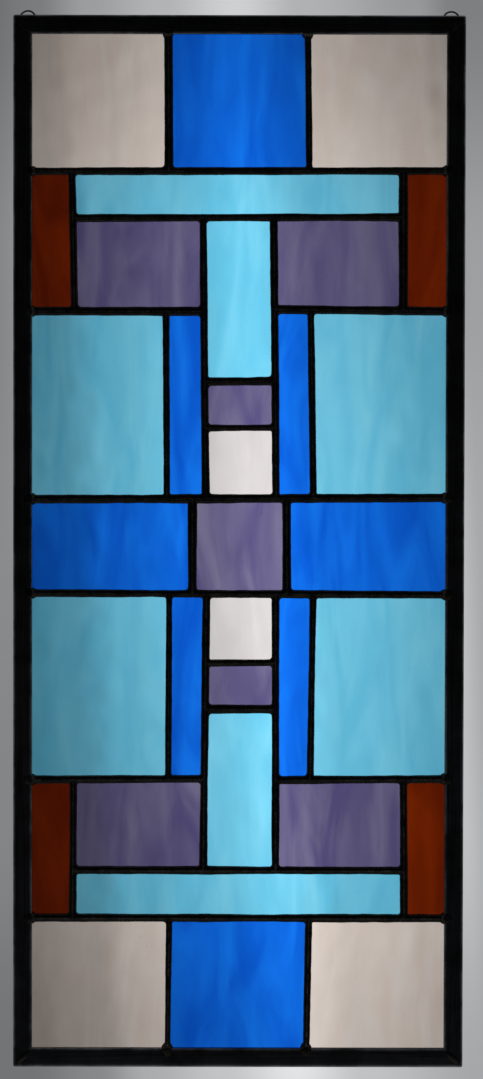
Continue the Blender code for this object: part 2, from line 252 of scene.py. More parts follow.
# %% Colours, nodes and finishes
def linear(code):
    """An sRGB hex colour as the linear red, green, blue and alpha that shaders work in."""
    values = np.array([int(code[k:k + 2], 16) for k in (1, 3, 5)]) / 255
    values = np.where(values <= 0.04045, values / 12.92, ((values + 0.055) / 1.055) ** 2.4)
    return (*values.tolist(), 1.0)


def add(owner, kind, settings=None, links=None, stops=(), **properties):
    """Adds a shader node to a material or world: its properties, its sockets' values, what feeds its sockets
    (a node stands for its first output), and a colour ramp's stops as (place, hex colour or grey level)."""
    tree = owner.node_tree
    node = tree.nodes.new("ShaderNode" + kind)
    for key, value in properties.items():
        setattr(node, key, value)
    for key, value in (settings or {}).items():
        node.inputs[key].default_value = value
    for key, source in (links or {}).items():
        output = source.outputs[0] if isinstance(source, bpy.types.Node) else source
        tree.links.new(output, node.inputs[key])
    for number, (place, tone) in enumerate(stops):
        band = node.color_ramp.elements
        element = band[number] if number < len(band) else band.new(place)
        element.position = place
        element.color = linear(tone) if isinstance(tone, str) else (tone, tone, tone, 1.0)
    return node


def blank(finish):
    """Clears the nodes of a new material or world."""
    finish.use_nodes = True
    finish.node_tree.nodes.clear()
    return finish


def shade(material, settings, links=None):
    """Ends a material in one Principled shader."""
    shader = add(material, "BsdfPrincipled", settings, links)
    add(material, "OutputMaterial", links={"Surface": shader}, is_active_output=True)


# %% [markdown]
# ## The glass
# Cathedral glass is poured on a table and rolled out. Its two faces follow the rollers, so they rise and
# fall by a hundredth of a millimetre or two over a centimetre or so, and light bends a little on its way
# through. A flat slab with a bump map would do from afar, but its reflections seen edge-on stay dead
# straight. So each face is a grid between the pane's four corners, pushed in and out by its own wobble.

# %% A pane of rolled glass
GLASS_STEP = 2.6 * MM
FEWEST_STEPS = 4
WAVE_HEIGHT = 0.012 * MM
LONG_WAVE, SHORT_WAVE = 17 * MM, 6 * MM


def face_grid(corners):
    """Points spread evenly between four corners: P(u, v) goes straight between the two sides at each v."""
    wide = np.hypot(*(corners[1] - corners[0]))
    high = np.hypot(*(corners[3] - corners[0]))
    columns, rows = (max(FEWEST_STEPS, round(size / GLASS_STEP)) + 1 for size in (wide, high))
    u, v = np.meshgrid(np.linspace(0, 1, columns), np.linspace(0, 1, rows))
    u, v = u[..., None], v[..., None]
    lower, upper = (1 - u) * corners[0] + u * corners[1], (1 - u) * corners[3] + u * corners[2]
    return (1 - v) * lower + v * upper


def glass_skin(corners, seed):
    """The closed skin of a pane: two grids, each HALF_GLASS - WAVE_HEIGHT * (1 + waves) from the middle, and
    a strip of quads round the rim that joins them."""
    flat = face_grid(corners)
    rows, columns = flat.shape[:2]
    x, z = flat[..., 0], flat[..., 1]
    faces, points = [], []
    for k, sign in enumerate((-1, 1)):
        waves = 0.75 * wobble(seed + k, LONG_WAVE, x, z) + 0.25 * wobble(seed + k + 50, SHORT_WAVE, x, z)
        y = MIDDLE_Y + sign * (HALF_GLASS - WAVE_HEIGHT * (1 + waves))
        points.append(np.stack([x, y, z], axis=-1).reshape(-1, 3))
        faces.append(grid_faces(rows, columns, start=k * rows * columns, turned=sign > 0))
    index = np.arange(rows * columns).reshape(rows, columns)
    rim = np.concatenate([index[0, :-1], index[:-1, -1], index[-1, :0:-1], index[:0:-1, 0]])
    after = np.roll(rim, -1)
    faces.append(np.stack([rim, rim + rows * columns, after + rows * columns, after], axis=-1))
    return np.concatenate(points), np.concatenate(faces)


# %% [markdown]
# Seeds are bubbles that stay in the glass as it cools, drawn out by the rolling to nearly twice their
# width. Each is a small closed hollow inside the slab. Its skin faces into the hollow, away from the glass,
# which tells the light where glass ends and air begins.

# %% Seeds in the glass
SEED_SPACING = 30 * MM
SEED_RINGS, SEED_SIDES = 5, 8
SEED_STRETCH = 1.9
SEED_RADII = (0.07 * MM, 0.17 * MM)


def hollow():
    """A seed of radius 1: P(a, b) = (sin a cos b, sin a sin b, SEED_STRETCH cos a), its skin facing in."""
    a = np.linspace(0, np.pi, SEED_RINGS + 2)[1:-1, None]
    b = np.linspace(0, 2 * np.pi, SEED_SIDES, endpoint=False)[None, :]
    ball = np.stack([np.sin(a) * np.cos(b), np.sin(a) * np.sin(b), SEED_STRETCH * np.cos(a) + 0 * b], axis=-1)
    points = np.concatenate([ball.reshape(-1, 3), [[0, 0, SEED_STRETCH], [0, 0, -SEED_STRETCH]]])
    ring, last = np.arange(SEED_SIDES), SEED_SIDES * (SEED_RINGS - 1)
    top, bottom = fan(len(points) - 2, ring)[:, ::-1], fan(len(points) - 1, ring + last)
    return points, [*grid_faces(SEED_RINGS, SEED_SIDES, around=True), *top, *bottom]


def seeds_in(corners, seed):
    """A pane's seeds: hollows times their radii, at random places, about one to SEED_SPACING squared."""
    dice = np.random.default_rng(seed + 900)
    size = np.ptp(corners, axis=0)
    count = max(1, round(size[0] * size[1] / SEED_SPACING**2))
    place = dice.uniform(0.08, 0.92, (count, 2))
    centre = np.empty((count, 3))
    centre[:, [0, 2]] = corners.min(axis=0) + place * size
    centre[:, 1] = MIDDLE_Y + dice.uniform(-0.5, 0.5, count) * HALF_GLASS
    radius = dice.uniform(*SEED_RADII, count)
    unit, faces = hollow()
    points = centre[:, None, :] + unit[None] * radius[:, None, None]
    return points.reshape(-1, 3), [f + k * len(unit) for k in range(count) for f in faces]


# %% [markdown]
# All 33 panes are cut the same way, and a pane's name says its colour. The two small clear ones are of a
# slightly greyer sheet than the four at the corners, so they get a tone of their own.

# %% Cut all the panes
glass_pieces = {}
for number, (name, corners) in enumerate(panes.items()):
    skin, skin_faces = glass_skin(corners, seed=101 * (number + 1))
    seeds, seed_faces = seeds_in(corners, seed=number)
    colour = name.split("_")[1]
    faces = [*skin_faces, *(f + len(skin) for f in seed_faces)]
    piece = new_piece(f"{name}_sheet", np.concatenate([skin, seeds]), faces, [name])
    piece.data.set_sharp_from_angle(angle=math.radians(35))
    glass_pieces[piece] = "pale" if "clear_small" in name else colour
print(len(glass_pieces), "panes cut,", sum(len(p.data.polygons) for p in glass_pieces), "faces")

# %% [markdown]
# ## The colours of the glass
# The colour is in the glass itself: cobalt for the blue, copper for the turquoise, manganese for the
# purple, iron and selenium for the rust. Against the light it glows, because it filters what comes through.
# The shader lets all light through and tints it, with the index of soda glass, 1.52. One flat tone would
# look like plastic film, so two are mixed by slow streaks that follow the way the sheet was rolled.

# %% Six tones of cathedral glass
GLASS_TONES = {
    "clear": ("#F2E0D3", "#F9ECE2"),
    "pale": ("#DAD3D1", "#E5DEDC"),
    "blue": ("#0A62E2", "#1680FF"),
    "turquoise": ("#6FD2F4", "#88E2FE"),
    "purple": ("#5C5382", "#7C7696"),
    "rust": ("#6E1D00", "#8A2B00"),
}
STREAK_SIZE, STREAK_LEAN = (16 * MM, 16 * MM, 70 * MM), math.radians(8)
ROLLER_GRAIN, GRAIN_DEPTH = 1.4 * MM, 0.02 * MM


def cathedral_glass(colour):
    """Rolled soda glass, tinted through: clear gloss, slow streaks of tone, a faint ripple."""
    material = blank(bpy.data.materials.new(f"cathedral_glass_{colour}"))
    place = add(material, "TexCoord").outputs["Object"]
    stretch = {"Rotation": (0, STREAK_LEAN, 0), "Scale": [1 / size for size in STREAK_SIZE]}
    along = add(material, "Mapping", stretch, {"Vector": place})
    lumps = {"Scale": 1.0, "Detail": 3.0, "Roughness": 0.5, "Distortion": 1.2}
    streaks = add(material, "TexNoise", lumps, {"Vector": along})
    tint = add(material, "ValToRGB", links={"Fac": streaks}, stops=zip((0.34, 0.68), GLASS_TONES[colour]))
    grain = add(material, "TexNoise", {"Scale": 1 / ROLLER_GRAIN, "Detail": 2.0}, {"Vector": place})
    ripple = add(material, "Bump", {"Strength": 0.02, "Distance": GRAIN_DEPTH}, {"Height": grain})
    gloss = {"Roughness": 0.02, "Transmission Weight": 1.0, "IOR": 1.52}
    shade(material, gloss, {"Base Color": tint, "Normal": ripple})
    return material


glasses = {colour: cathedral_glass(colour) for colour in GLASS_TONES}
for piece, colour in glass_pieces.items():
    piece.data.materials.append(glasses[colour])
print("glass finishes:", ", ".join(glasses))

# %% [markdown]
# ## The solder
# A bead of solder sits on the foil like a drop on a coin: it meets the foil's edge steeply and is round on
# top. The whole net is one piece of metal. To build it, each pane gets a ring of its own that starts on the
# middle lines of the seams round it, comes down the bead to the foil's edge, goes in under the foil,
# through between the panes and up the same way on the back. Neighbours share the points on the middle line,
# so all the rings join into one skin. For that, each seam is cut in steps from junction to junction.

# %% Junctions of the net
SAME_PLACE = 0.2 * MM
ON_LINE = 0.08 * MM
CLEAR_OF_ENDS = 0.5 * MM
junctions = np.empty((0, 2))
for corner in np.concatenate(list(cells.values())):
    if not len(junctions) or np.hypot(*(junctions - corner).T).min() > SAME_PLACE:
        junctions = np.vstack([junctions, corner])


def junction_at(point):
    """The number of the junction at a point."""
    return int(np.argmin(np.hypot(*(junctions - point).T)))


def chain(start, end):
    """The junctions on the straight line from start to end, in order, with both ends."""
    run = junctions[end] - junctions[start]
    length = np.hypot(*run)
    along = (junctions - junctions[start]) @ run / length
    off = np.abs((junctions - junctions[start]) @ np.array([-run[1], run[0]]) / length)
    between = (along > CLEAR_OF_ENDS) & (along < length - CLEAR_OF_ENDS)
    inside = np.flatnonzero((off < ON_LINE) & between)
    return [start, *inside[np.argsort(along[inside])].tolist(), end]


print(len(junctions), "junctions of solder")

# %% [markdown]
# A run of points from one junction to the next is worked out once and kept, so both panes beside it get the
# very same points. The points crowd together near the junctions, where the foil's edge turns its corners.

# %% Runs of solder between junctions
SOLDER_STEP = 1.45 * MM
FEWEST_RUN_STEPS = 6
CROWDING = 0.55
runs = {}


def run_points(start, end):
    """Points of a run at e - CROWDING * sin(2 pi e) / 2 pi, for even steps of e, the same read either way."""
    key = (min(start, end), max(start, end))
    if key not in runs:
        a, b = junctions[key[0]], junctions[key[1]]
        steps = max(FEWEST_RUN_STEPS, round(np.hypot(*(b - a)) / SOLDER_STEP))
        even = np.arange(steps + 1) / steps
        share = even - CROWDING * np.sin(2 * np.pi * even) / (2 * np.pi)
        runs[key] = a + (b - a) * share[:, None]
    return runs[key] if key[0] == start else runs[key][::-1]


# %% [markdown]
# The foil's edge is what frames each pane. Its corners are never sharp, because solder pulls itself round,
# some more than others. Each point on a seam's middle line gets a partner on that edge, and one on the edge
# of the glass below the foil.

# %% The foil's edge along one side
FOIL_LAP = 1.2 * MM


def inset(corners, by):
    """A four-sided outline moved in by one distance on all sides."""
    lines = []
    for a, b in zip(corners, np.roll(corners, -1, axis=0)):
        along = (b - a) / np.hypot(*(b - a))
        inward = np.array([-along[1], along[0]]) * by
        lines.append((a + inward, b + inward))
    return crossings(lines)


def side_rows(k, middle, cell, opening, glass, radii):
    """The partners of points on the middle line beyond side k, on the foil's edge and on the glass's edge.
    The foil's edge is an eighth of a turn, hub + radius * (cos, sin), a straight, an eighth of a turn."""
    end = (k + 1) % 4
    run = opening[end] - opening[k]
    along = run / np.hypot(*run)
    inward = np.array([-along[1], along[0]])
    length = np.hypot(*(cell[end] - cell[k]))
    s = np.hypot(*(middle - cell[k]).T)
    first, last = (opening[k] - cell[k]) @ along + radii[k], (cell[end] - opening[end]) @ along + radii[end]
    share = np.clip((s - first) / (length - first - last), 0, 1)[:, None]
    edge = (opening[k] + along * radii[k]) * (1 - share) + (opening[end] - along * radii[end]) * share
    for near, zone, at, way in ((s, first, k, -1), (length - s, last, end, 1)):
        hub = opening[at] + radii[at] * (inward - way * along)
        angle = (np.pi / 4 * (1 - np.clip(near / zone, 0, 1)))[:, None]
        arc = hub + radii[at] * (way * along * np.sin(angle) - inward * np.cos(angle))
        edge = np.where((near < zone)[:, None], arc, edge)
    on_glass = glass[k] + (glass[end] - glass[k]) * (s / length)[:, None]
    return edge, on_glass


# %% [markdown]
# Foil is laid by hand, so its straight runs drift and wander by a tenth or two of a millimetre. They stray
# alike in front and behind, because one strip of foil is folded over both faces of the glass.

# %% The foil's edge round each pane
CORNER_RADIUS = 1.15 * MM
EDGE_WANDER = 0.15 * MM
EDGE_DRIFT = 0.22 * MM
FOIL_CLEARANCE = 0.03 * MM
dice = np.random.default_rng(7)


def strayed(edge, middle):
    """The foil's edge, moved away from the middle line by slow and quick wandering and by a long drift."""
    out = edge - middle
    out /= np.hypot(*out.T)[:, None]
    slow, quick, drift = (wobble(seed, size * MM, *edge.T) for seed, size in ((11, 9), (12, 3.5), (13, 60)))
    stray = EDGE_WANDER * (0.7 * slow + 0.3 * quick) + EDGE_DRIFT * drift
    return edge + out * stray[:, None]


def pane_rings(name):
    """A pane's ring as three closed outlines: the seams' middle, the foil's edge and the glass's edge."""
    cell, glass = cells[name], inset(panes[name], -FOIL_CLEARANCE)
    opening = inset(panes[name], FOIL_LAP)
    radii = CORNER_RADIUS * dice.uniform(0.5, 1.5, 4)
    rows = []
    for k in range(4):
        path = chain(junction_at(cell[k]), junction_at(cell[(k + 1) % 4]))
        middle = np.concatenate([run_points(a, b)[:-1] for a, b in zip(path, path[1:])])
        rows.append((middle, *side_rows(k, middle, cell, opening, glass, radii)))
    middle, edge, on_glass = (np.concatenate(row) for row in zip(*rows))
    return middle, strayed(edge, middle), on_glass


# %% [markdown]
# Across a seam the bead rises from the foil's edge as a quarter of a flattened circle. Along a seam its
# crown swells and sinks by a twentieth of a millimetre. Near the frame it thins, because the zinc bar has
# to slip over it.

# %% The height of the bead
BEAD_HEIGHT = 1.02 * MM
FOIL_EDGE = 0.10 * MM
UNDER_FOIL = 0.005 * MM
HEIGHT_WANDER = 0.07 * MM
IN_CHANNEL = 0.55
ACROSS = np.array([1.0, 0.66, 0.40, 0.20, 0.07, 0.0])


def crown_height(x, z, face):
    """The bead's height on a middle line: BEAD_HEIGHT and a wander, times IN_CHANNEL inside the frame."""
    past_x = np.maximum(sight_low[0] - x, x - sight_high[0])
    past_z = np.maximum(sight_low[1] - z, z - sight_high[1])
    share = ease(np.maximum(past_x, past_z), -1.0 * MM, 0.3 * MM)
    wander = HEIGHT_WANDER * (wobble(21 + face, 11 * MM, x, z) + 0.5 * wobble(23 + face, 4 * MM, x, z))
    return (BEAD_HEIGHT + wander) * (1 - share * (1 - IN_CHANNEL))


def bead(t, crown):
    """Height above the glass at a share t of the way from the foil's edge to the middle line."""
    return FOIL_EDGE + (crown - FOIL_EDGE) * np.sqrt(np.maximum(1 - (1 - t) ** 2.4, 0))


# %% [markdown]
# A pane's ring is now rows of points: down the bead in front, in to the glass, and back up the bead behind.
# On the net's outer rim the ring has no neighbour, so a wall joins its first row to its last.

# %% One pane's ring of solder
ON_RIM = 0.01 * MM
RING_CROWNS = np.concatenate([ACROSS, [0, 0, 0, 0], ACROSS[::-1]])


def ring_points(name):
    """The rows of one pane's ring, from the middle line in front, through the gap, to the one behind."""
    middle, edge, on_glass = pane_rings(name)
    flats = [edge + (middle - edge) * t for t in ACROSS] + [edge, on_glass]
    halves = []
    for face, sign in enumerate((-1, 1)):
        lift = crown_height(*middle.T, face)
        heights = [bead(t, lift) for t in ACROSS] + [UNDER_FOIL + 0 * lift] * 2
        levels = [MIDDLE_Y + sign * (HALF_GLASS + height) for height in heights]
        halves.append([np.column_stack([flat[:, 0], y, flat[:, 1]]) for flat, y in zip(flats, levels)])
    front, back = halves
    return np.array(front + back[::-1])


def rim_wall(rows):
    """The quads that close a ring where its middle line lies on the net's outer rim."""
    levels, around = rows.shape[:2]
    flat = rows[0][:, [0, 2]]
    near = np.abs(np.concatenate([flat - rim_low, flat - rim_high], axis=1)) < ON_RIM
    k = np.flatnonzero((near & np.roll(near, -1, axis=0)).any(axis=1))
    after, behind = (k + 1) % around, (levels - 1) * around
    return np.stack([after, k, k + behind, after + behind], axis=-1)


# %% [markdown]
# The rings of all panes go into one list. Points closer than a ten-thousandth of a millimetre become one,
# which makes one closed skin of them all. A crease angle keeps the step at the foil's edge crisp.

# %% Cast the whole net of solder
MERGE = 0.0001 * MM
all_points, all_faces, all_crowns, count = [], [], [], 0
for name in pane_names:
    rows = ring_points(name)
    levels, around = rows.shape[:2]
    all_faces += [grid_faces(levels, around, start=count, around=True), rim_wall(rows) + count]
    all_points.append(rows.reshape(-1, 3))
    all_crowns.append(np.repeat(RING_CROWNS, around))
    count += levels * around
points = np.concatenate(all_points)
places = np.round(points / MERGE).astype(np.int64)
_, first_use, merged = np.unique(places, axis=0, return_index=True, return_inverse=True)
faces = merged.ravel()[np.concatenate(all_faces)]
solder = new_piece("soldered_net", points[first_use], faces, ["solder_seams"])
mark_crowns(solder, np.concatenate(all_crowns)[first_use])
solder.data.set_sharp_from_angle(angle=math.radians(50))
print("the net of solder has", len(faces), "quads")

# %% [markdown]
# Where a seam reaches the frame, a drop of solder ties it to the zinc, and the mitres and loops are
# soldered too. A drop could be cut out of a ball, but molten solder follows what it lies on. So it is a
# mound over an oval base, held between two levels, its foot and its crown, that may change along it.


# %% Domes of solder
def level_at(level, u):
    """A height that is one number, or a function of the place u along a dome."""
    return level(u) if callable(level) else level


def dome(centre, reach, turn, low, high, sign, seed, rings=6, sides=22, flat=2.6):
    """A low mound over an oval: height = low + (high - low) * (1 - q^flat)^0.6 at a share q of the way out.

    reach is its half length and half width, turn the angle of its length, sign the side of the panel. low and
    high are heights off the middle plane, each a number or a function of the place along the length."""
    q = np.linspace(0, 1, rings + 1)[1:, None]
    a = np.linspace(0, 2 * np.pi, sides, endpoint=False)[None, :]
    rough = 1 + 0.09 * wobble(seed, 2.0, np.cos(a), np.sin(a))
    u, v = reach[0] * q * np.cos(a) * rough, reach[1] * q * np.sin(a) * rough
    x = centre[0] + u * math.cos(turn) - v * math.sin(turn)
    z = centre[1] + u * math.sin(turn) + v * math.cos(turn)
    foot, crown = level_at(low, u), level_at(high, u)
    y = MIDDLE_Y + sign * (foot + (crown - foot) * np.maximum(1 - q**flat, 0) ** 0.6)
    top = np.stack(np.broadcast_arrays(x, y, z), axis=-1).reshape(-1, 3)
    tips = [[centre[0], MIDDLE_Y + sign * level_at(level, 0.0), centre[1]] for level in (high, low)]
    ring, last = np.arange(sides), (rings - 1) * sides
    cap, base = fan(len(top), ring), fan(len(top) + 1, ring + last)[:, ::-1]
    faces = [*cap, *base, *grid_faces(rings, sides, around=True, turned=True)]
    crowns = np.concatenate([np.repeat(np.clip(1.5 * (1 - q[:, 0] ** 2), 0, 1), sides), [1.0, 0.0]])
    return np.concatenate([top, tips]), faces if sign < 0 else [f[::-1] for f in faces], crowns


def joined(name, parts, replaces=()):
    """Makes one piece of several (points, faces, crowns) parts."""
    points, faces, crowns = zip(*parts)
    starts = np.cumsum([0, *map(len, points)])
    faces = [np.asarray(f) + start for part, start in zip(faces, starts) for f in part]
    piece = new_piece(name, np.concatenate(points), faces, replaces)
    mark_crowns(piece, np.concatenate(crowns))
    return piece


# %% [markdown]
# A drop at the frame runs out thin over the bar and slopes down to the seam. Its foot steps up sharply from
# the glass to the bar, and its crown climbs more slowly from the seam.

# %% The two levels of a drop at the frame
TACK_REACH = (3.9 * MM, 3.0 * MM)
ONTO_BAR = 0.9 * MM
CAME_RECESS = 0.20 * MM
CROWN_TOP = CAME_HALF - 0.01 * MM


def under_tack(u):
    """A drop's foot, u outwards from its middle: on the glass, and past the lip a little way into the bar."""
    glass, bar = HALF_GLASS + 0.02 * MM, CAME_HALF - CAME_RECESS - 0.2 * MM
    return glass + (bar - glass) * ease(u + ONTO_BAR, -0.4 * MM, 0.2 * MM)


def over_tack(u):
    """A drop's crown, u outwards from its middle: at the seam's crown, and past the lip just over the bar."""
    seam = HALF_GLASS + 0.9 * MM
    return seam + (CROWN_TOP - seam) * ease(u + ONTO_BAR, -2.4 * MM, 0.5 * MM)


# %% [markdown]
# The junctions on the net's outer rim say where the drops go. A junction in the rim's own corner gets none,
# because no seam ends there. Each drop sits on the frame's inner edge, in front and behind.

# %% A drop at each end of a seam
tacks = []
for number, junction in enumerate(junctions):
    on_side = (np.abs(np.array([junction - rim_low, junction - rim_high])) < ON_RIM).any(axis=0)
    if on_side.all() or not on_side.any():
        continue
    outward = np.where(on_side, np.sign(junction - (rim_low + rim_high) / 2), 0.0)
    centre = np.clip(junction, sight_low, sight_high) + outward * ONTO_BAR
    turn = math.atan2(outward[1], outward[0])
    for face, sign in enumerate((-1, 1)):
        seed = 2 * number + face
        tacks.append(dome(centre, TACK_REACH, turn, under_tack, over_tack, sign, seed, rings=10, sides=48))
tack_piece = joined("seam_tacks", tacks)
print(len(tacks), "drops of solder along the frame")

# %% [markdown]
# ## The zinc frame
# The bars are rolled from zinc strip into a U that holds the edge of the glass. Rolling leaves the outer
# edges softly rounded, the faces a little crowned and the lips round. A box with a bevel would lack the
# channel and the lips, so a section is worked out here and then carried along each bar.

# %% The section of a bar
FACE_BULGE = 0.05 * MM
EDGE_RADIUS = 0.9 * MM
LIP_RADIUS = 0.36 * MM
CAME_WALL = 0.8 * MM


def quarter(centre, radius, start, steps=5):
    """A quarter turn of an arc, anticlockwise from an angle in degrees."""
    a = np.radians(start + np.linspace(0, 90, steps + 1))
    return np.column_stack([centre[0] + radius * np.cos(a), centre[1] + radius * np.sin(a)])


def bar_section():
    """The U as (distance in from the outer edge, depth), all its edges round: one half and its mirror."""
    half = CAME_HALF - CAME_RECESS
    depth = half - CAME_WALL
    lip = CAME_FACE - LIP_RADIUS
    face = np.linspace(EDGE_RADIUS, lip, 7)[1:-1]
    crown = FACE_BULGE * (1 - (2 * (face - EDGE_RADIUS) / (lip - EDGE_RADIUS) - 1) ** 2)
    lower = np.concatenate([
        [(0.0, -half / 4)],
        quarter((EDGE_RADIUS, -half + EDGE_RADIUS), EDGE_RADIUS, 180),
        np.column_stack([face, -half - crown]),
        quarter((lip, -half + LIP_RADIUS), LIP_RADIUS, 270),
        quarter((lip, -depth - LIP_RADIUS), LIP_RADIUS, 0),
        np.linspace((lip, -depth), (CAME_WALL, -depth), 4)[1:],
    ])
    return np.concatenate([lower[::-1] * (1, -1), lower])


section = bar_section()
print("a bar's section has", len(section), "points")

# %% [markdown]
# Two more values go with each point of the section. One says how near it is to an outer edge, where
# handling rubs the patina off. The other is its distance round the strip, because the rollers' fine lines
# follow it.

# %% Wear and distance round the section
EDGE_WEAR = 1.4 * MM
to_side = np.minimum(section[:, 0], CAME_FACE - section[:, 0])
to_face = CAME_HALF - CAME_RECESS - np.abs(section[:, 1])
side_wear, face_wear = (np.clip(1 - way / EDGE_WEAR, 0, 1) for way in (to_side, to_face))
section_crowns = np.clip(1.5 * side_wear * face_wear, 0, 1)
steps_round = np.hypot(*(section - np.roll(section, 1, axis=0)).T)
girth = np.cumsum(steps_round) - steps_round[0]
print("the strip of a bar is", round(girth[-1] / MM, 1), "mm wide")

# %% [markdown]
# A bar's ends are sawn to mitres: a point further in from the outer edge starts further along it. The bars
# are pressed and stretched by hand, so their faces aren't dead flat, and the frame's sharp corners are
# filed round.

# %% One mitred bar
BAR_STEP = 6 * MM
NEAR_MITRE = np.array([0, 0.25, 0.5, 0.8, 1.2, 2.0]) * MM
MITRE_GAP = 0.005 * MM
BAR_BEND, BEND_LENGTH = 0.035 * MM, 45 * MM
CORNER_ARC = 1.2 * MM
frame_corners = [outer_low, [outer_high[0], outer_low[1]], outer_high, [outer_low[0], outer_high[1]]]


def filed(x, z):
    """Rounds the frame's four corners: a point beyond a corner's arc is pulled straight back onto it."""
    (mid_x, mid_z), (hub_x, hub_z) = (outer_low + outer_high) / 2, (outer_high - outer_low) / 2 - CORNER_ARC
    dx, dz = np.abs(x - mid_x) - hub_x, np.abs(z - mid_z) - hub_z
    cut = (dx > 0) & (dz > 0) & (np.hypot(dx, dz) > CORNER_ARC)
    pull = np.where(cut, CORNER_ARC / np.maximum(np.hypot(dx, dz), CORNER_ARC), 1.0)
    return mid_x + np.sign(x - mid_x) * (hub_x + dx * pull), mid_z + np.sign(z - mid_z) * (hub_z + dz * pull)


def bar_skin(k, seed):
    """The section carried along side k: point (s, n, y) lies s along the outer edge and n inwards, where s
    runs between the mitres, from n past one corner to n before the other."""
    start, run = np.array(frame_corners[k]), np.subtract(frame_corners[(k + 1) % 4], frame_corners[k])
    length = np.hypot(*run)
    along, inward = run / length, np.array([-run[1], run[0]]) / length
    ends = NEAR_MITRE / length
    middle = np.linspace(0, 1, round(length / BAR_STEP) + 1)[1:-1]
    stations = np.concatenate([ends, middle, 1 - ends[::-1]])[:, None]
    n, y = section[None, :, 0], section[None, :, 1]
    s = (n + MITRE_GAP) + (length - 2 * (n + MITRE_GAP)) * stations
    y = y - np.sign(y) * np.abs(BAR_BEND * wobble(seed, BEND_LENGTH, s, 6 * n, 6 * y))
    x, z = (start[axis] + along[axis] * s + inward[axis] * n for axis in (0, 1))
    x, z = filed(x, z)
    points = np.stack([x, MIDDLE_Y + y, z], axis=-1).reshape(-1, 3)
    strip = np.stack(np.broadcast_arrays(s, girth[None, :], seed * 1.0), axis=-1).reshape(-1, 3)
    rows, columns = len(stations), len(section)
    faces = [*grid_faces(rows, columns, around=True, turned=True)]
    faces += [np.arange(columns), (rows - 1) * columns + np.arange(columns)[::-1]]
    return points, faces, strip


# %% [markdown]
# Each point of a bar keeps its place on the strip, as the distance along, the distance round and a number
# for the bar, for the finish to draw its lines by.

# %% Four bars
came_pieces = []
for number, side in enumerate(("bottom", "right", "top", "left")):
    points, faces, strip = bar_skin(number, seed=31 + number)
    bar = new_piece(f"zinc_bar_{side}", points, faces, [f"frame_{side}"])
    bar.data.set_sharp_from_angle(angle=math.radians(40))
    mark_crowns(bar, np.tile(section_crowns, len(points) // len(section)))
    drawn = bar.data.attributes.new("strip", "FLOAT_VECTOR", "POINT")
    drawn.data.foreach_set("vector", strip.astype(np.float32).ravel())
    came_pieces.append(bar)
print("four bars,", sum(len(p.data.polygons) for p in came_pieces), "faces")

# %% [markdown]
# The mitres are filled with a run of solder, front and back, and wiped nearly flush. Each is a long dome
# that lies along the mitre, sunk into the bars so far that only its cap shows.

# %% Solder over the mitres
MITRE_REACH = (5.6 * MM, 2.0 * MM)
MITRE_INWARD = 0.35 * MM
MITRE_FOOT = CROWN_TOP - 0.45 * MM
MITRE_SHAPE = {"rings": 8, "sides": 36, "flat": 3.2}
mitres = []
for corner_x, side_x in ((outer_low[0], 1), (outer_high[0], -1)):
    for corner_z, side_z in ((outer_low[1], 1), (outer_high[1], -1)):
        centre = np.array([corner_x, corner_z]) + np.array([side_x, side_z]) * (CAME_FACE / 2 + MITRE_INWARD)
        turn = math.atan2(side_z, side_x)
        for sign in (-1, 1):
            seed = 300 + len(mitres)
            mitres.append(dome(centre, MITRE_REACH, turn, MITRE_FOOT, CROWN_TOP, sign, seed, **MITRE_SHAPE))
mitre_piece = joined("mitre_solder", mitres)
print(len(mitres), "runs of solder over the mitres")

# %% [markdown]
# ## The hanging loops
# A loop is a ring of thin tinned wire, laid on the back of the frame at an upper corner and buried to its
# waist in solder, so that its crown stands above the bar. The ring is a small circle carried round a big
# one, and the solder is a dome as before.

# %% A ring of wire
WIRE = 0.9 * MM


def wire_ring(centre, radius, seed, steps=64, sides=12):
    """A ring: P(a, b) = centre + (radius + r cos b)(sin a, cos a), depth r sin b, bent a little off true."""
    a = np.linspace(0, 2 * np.pi, steps, endpoint=False)[:, None]
    b = np.linspace(0, 2 * np.pi, sides, endpoint=False)[None, :]
    r = WIRE / 2
    true = 1 - 0.012 * (1 + wobble(seed, 1.4, np.cos(a), np.sin(a)))
    reach = radius * true + r * np.cos(b)
    x, z, y = centre[0] + reach * np.sin(a), centre[2] + reach * np.cos(a), centre[1] + r * np.sin(b) + 0 * a
    points = np.stack([x, y, z], axis=-1).reshape(-1, 3)
    faces = grid_faces(steps + 1, sides, around=True, turned=True) % (steps * sides)
    return points, faces, np.full(len(points), 0.5)


# %% [markdown]
# The model's box for each loop says where the wire's crown and its back lie, and how low the dab of solder
# goes. The dab's foot starts a hair inside the bar, so that no light shows between the two.

# %% Two loops in their dabs of solder
DAB_HALF_WIDTH = 4.5 * MM
DAB_BELOW_TOP = 1.1 * MM
DAB_FOOT, DAB_CROWN = CAME_HALF - CAME_RECESS - 0.05 * MM, CAME_HALF + 1.12 * MM
loop_pieces = []
for number, side in enumerate(("left", "right")):
    low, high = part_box(f"hanging_loop_{side}")
    wide = high.x - low.x
    centre = ((low.x + high.x) / 2, high.y - WIRE / 2, high.z - wide / 2)
    ring = wire_ring(centre, (wide - WIRE) / 2, seed=41 + number)
    dab_top = outer_high[1] - DAB_BELOW_TOP
    dab_centre, dab_reach = (centre[0], (low.z + dab_top) / 2), (DAB_HALF_WIDTH, (dab_top - low.z) / 2)
    dab = dome(dab_centre, dab_reach, 0.0, DAB_FOOT, DAB_CROWN, 1, 51 + number, rings=9, sides=40)
    loop_pieces.append(joined(f"wire_loop_{side}", [ring, dab], [f"hanging_loop_{side}"]))
print("two loops, wire", WIRE / MM, "mm")

